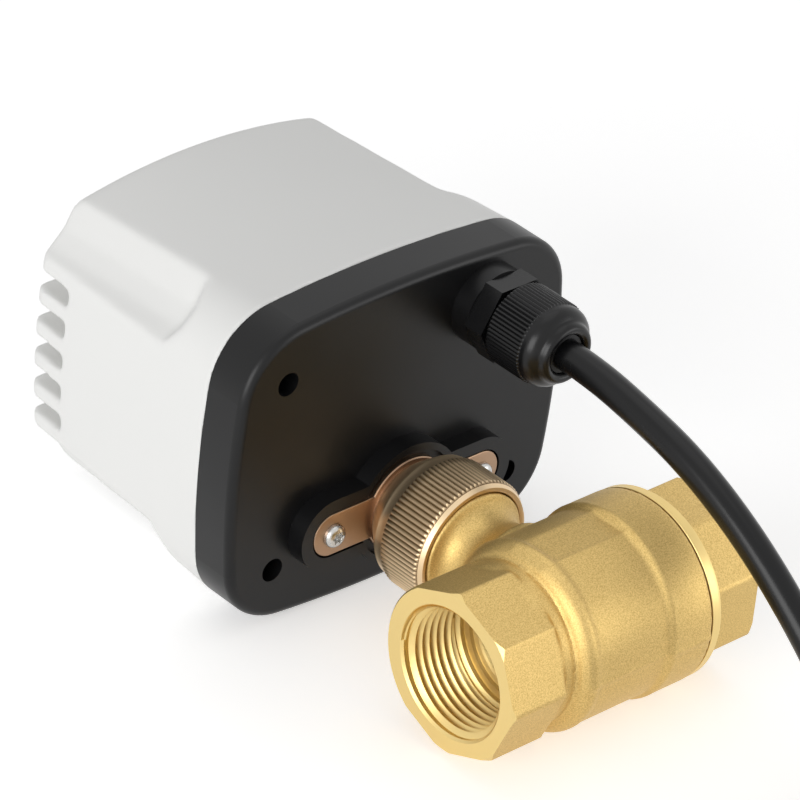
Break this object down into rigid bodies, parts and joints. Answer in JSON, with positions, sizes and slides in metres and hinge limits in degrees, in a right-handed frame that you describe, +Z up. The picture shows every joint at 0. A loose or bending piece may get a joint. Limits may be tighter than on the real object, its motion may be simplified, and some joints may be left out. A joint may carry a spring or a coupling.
{
  "type": "electric ball valve",
  "caption": "Brass ball valve with threaded ports, knurled union nut and a boxed motor actuator with a cable gland and cable, lying on its side.",
  "frame": {"origin": "centre of the footprint of valve and actuator on the surface they lie on", "axes": "+Z up, +X along the pipe axis towards the outlet port, +Y along the stem axis from valve to actuator"},
  "size_m": [0.1188, 0.2588, 0.0686],
  "materials": {
    "cast_brass": "sand-blasted satin",
    "machined_brass": "polished",
    "bronze_nut": "satin",
    "copper_flange": "satin",
    "steel": "satin",
    "chrome_ball": "polished",
    "ptfe": "satin",
    "rubber_seal": "matte",
    "black_base": "satin",
    "black_nylon": "satin",
    "white_cover": "satin",
    "white_gear": "satin",
    "switch_black": "satin",
    "switch_red": "satin",
    "board_green": "satin",
    "terminal_green": "satin",
    "relay_blue": "satin",
    "capacitor_sleeve": "satin",
    "copper_wire": "tinned copper",
    "cable_jacket": "satin",
    "core_brown": "satin",
    "core_blue": "satin",
    "core_earth": "satin",
    "lead_grey": "satin"
  },
  "bodies": {
    "housing": {"valve_body": "cast_brass", "end_cap": "cast_brass", "body_seal": "ptfe", "seat_inlet": "ptfe", "seat_outlet": "ptfe", "thrust_washer": "ptfe", "mounting_flange": "copper_flange", "flange_screws": "steel", "actuator_base": "black_base", "cover": "white_cover", "cover_gasket": "rubber_seal", "cover_screws": "steel", "gear_pins": "steel", "gear_plate": "steel", "plate_screws": "steel", "motor_can": "steel", "motor_lid": "steel", "motor_coil": "copper_wire", "switch_closed": "switch_black", "switch_open": "switch_black", "board_standoffs": "steel", "circuit_board": "board_green", "terminal_block": "terminal_green", "relay": "relay_blue", "capacitor": "capacitor_sleeve", "gland_body": "black_nylon", "gland_nut": "black_nylon", "gland_seal": "rubber_seal", "gland_locknut": "black_nylon", "cable_tail": "cable_jacket", "cable": "cable_jacket", "cable_coil": "cable_jacket", "core_brown": "core_brown", "core_blue": "core_blue", "core_earth": "core_earth", "core_ends": "copper_wire", "inner_leads": "lead_grey"},
    "valve_turn": {"ball": "chrome_ball", "stem": "machined_brass", "stem_orings": "rubber_seal", "drive_shaft": "steel", "output_gear": "white_gear", "cam": "switch_black"},
    "gear_a": {"compound_gear_a": "white_gear"},
    "gear_b": {"compound_gear_b": "white_gear"},
    "rotor": {"motor_rotor": "steel", "motor_pinion": "machined_brass"},
    "nut": {"union_nut": "bronze_nut"},
    "closed_button": {"plunger_closed": "switch_red"},
    "open_button": {"plunger_open": "switch_red"}
  },
  "joints": [
    {"name": "valve_turn", "type": "hinge", "parent": "housing", "child": "valve_turn", "pos_m": [0, -0.0274, 0.0193], "axis": [0, -1, 0], "range_deg": [0, 90]},
    {"name": "gear_a_spin", "type": "hinge", "parent": "housing", "child": "gear_a", "pos_m": [0.00805, 0.0106, 0.03324], "axis": [0, -1, 0], "range_deg": [-324.5, 0]},
    {"name": "gear_b_spin", "type": "hinge", "parent": "housing", "child": "gear_b", "pos_m": [0.00027, 0.0106, 0.04102], "axis": [0, -1, 0], "range_deg": [0, 1102]},
    {"name": "motor_spin", "type": "hinge", "parent": "housing", "child": "rotor", "pos_m": [-0.00906, 0.0226, 0.04685], "axis": [0, -1, 0], "range_deg": [-3746, 0]},
    {"name": "nut_turn", "type": "hinge", "parent": "housing", "child": "nut", "pos_m": [0, -0.0124, 0.0193], "axis": [0, -1, 0], "continuous": true},
    {"name": "closed_button_press", "type": "slide", "parent": "housing", "child": "closed_button", "axis": [-1, 0, 0], "range_m": [0, 0.001], "stiffness_N_per_m": 120},
    {"name": "open_button_press", "type": "slide", "parent": "housing", "child": "open_button", "axis": [0, 0, -1], "range_m": [0, 0.001], "stiffness_N_per_m": 120}
  ],
  "couplings": [
    {"joint": "gear_a_spin", "follows": "valve_turn", "ratio": -3.6},
    {"joint": "gear_b_spin", "follows": "valve_turn", "ratio": 12.24},
    {"joint": "motor_spin", "follows": "valve_turn", "ratio": -41.616}
  ]
}
